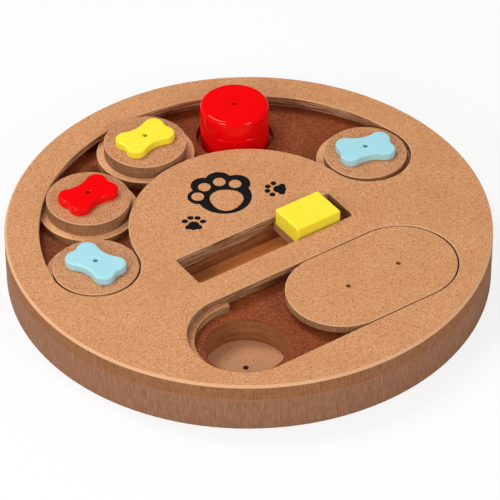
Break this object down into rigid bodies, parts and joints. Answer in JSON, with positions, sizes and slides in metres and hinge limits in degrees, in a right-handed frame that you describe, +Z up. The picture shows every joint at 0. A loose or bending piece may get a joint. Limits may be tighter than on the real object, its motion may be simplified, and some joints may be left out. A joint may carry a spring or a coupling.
{
  "type": "dog puzzle feeder",
  "caption": "Round MDF treat puzzle board for dogs: sliders with bone knobs in a ring channel, a lift-out peg, a sliding oval lid and a sliding block.",
  "frame": {"origin": "centre of the board's underside", "axes": "+Z up out of the playing face, +X to the right and +Y away from someone who faces the oval lid"},
  "size_m": [0.25, 0.25, 0.0405],
  "materials": {
    "mdf_base": "sawn and routed MDF, unfinished",
    "mdf_plate": "smooth pressed MDF face",
    "mdf_runner": "thin MDF, unfinished",
    "lacquer_blue": "glossy child-safe lacquer on wood",
    "lacquer_red": "glossy child-safe lacquer on wood",
    "lacquer_yellow": "glossy child-safe lacquer on wood",
    "steel_brad": "drawn wire"
  },
  "bodies": {
    "board": {"base_disc": "mdf_base", "top_plate": "mdf_plate"},
    "blue_left_slider": {"blue_left_runner": "mdf_runner", "blue_left_disc": "mdf_plate", "blue_left_bone": "lacquer_blue", "blue_left_pin": "steel_brad"},
    "red_slider": {"red_runner": "mdf_runner", "red_disc": "mdf_plate", "red_bone": "lacquer_red", "red_pin": "steel_brad"},
    "yellow_slider": {"yellow_runner": "mdf_runner", "yellow_disc": "mdf_plate", "yellow_bone": "lacquer_yellow", "yellow_pin": "steel_brad"},
    "blue_right_slider": {"blue_right_runner": "mdf_runner", "blue_right_disc": "mdf_plate", "blue_right_bone": "lacquer_blue", "blue_right_pin": "steel_brad"},
    "peg": {"peg_foot": "lacquer_red", "peg_cap": "lacquer_red", "peg_pin": "steel_brad"},
    "lid": {"lid_plate": "mdf_plate", "lid_runner": "mdf_runner", "lid_pin_left": "steel_brad", "lid_pin_right": "steel_brad"},
    "block": {"block_knob": "lacquer_yellow", "block_runner": "mdf_runner", "block_pin": "steel_brad"}
  },
  "joints": [
    {"name": "blue_left_travel", "type": "hinge", "parent": "board", "child": "blue_left_slider", "pos_m": [0, 0, 0.019], "axis": [0, 0, 1], "range_deg": [-2.2, 0]},
    {"name": "red_travel", "type": "hinge", "parent": "board", "child": "red_slider", "pos_m": [0, 0, 0.019], "axis": [0, 0, 1], "range_deg": [-2.2, 0]},
    {"name": "yellow_travel", "type": "hinge", "parent": "board", "child": "yellow_slider", "pos_m": [0, 0, 0.019], "axis": [0, 0, 1], "range_deg": [-4.5, 0]},
    {"name": "blue_right_travel", "type": "hinge", "parent": "board", "child": "blue_right_slider", "pos_m": [0, 0, 0.019], "axis": [0, 0, 1], "range_deg": [0, 21.2]},
    {"name": "peg_lift", "type": "slide", "parent": "board", "child": "peg", "axis": [0, 0, 1], "range_m": [0, 0.03]},
    {"name": "lid_slide", "type": "slide", "parent": "board", "child": "lid", "axis": [-0.8251, -0.565, 0], "range_m": [0, 0.058]},
    {"name": "block_slide", "type": "slide", "parent": "board", "child": "block", "axis": [-0.8251, -0.565, 0], "range_m": [-0.0065, 0.06]}
  ],
  "couplings": [
    {"joint": "blue_left_travel", "follows": "red_travel", "ratio": 1}
  ]
}
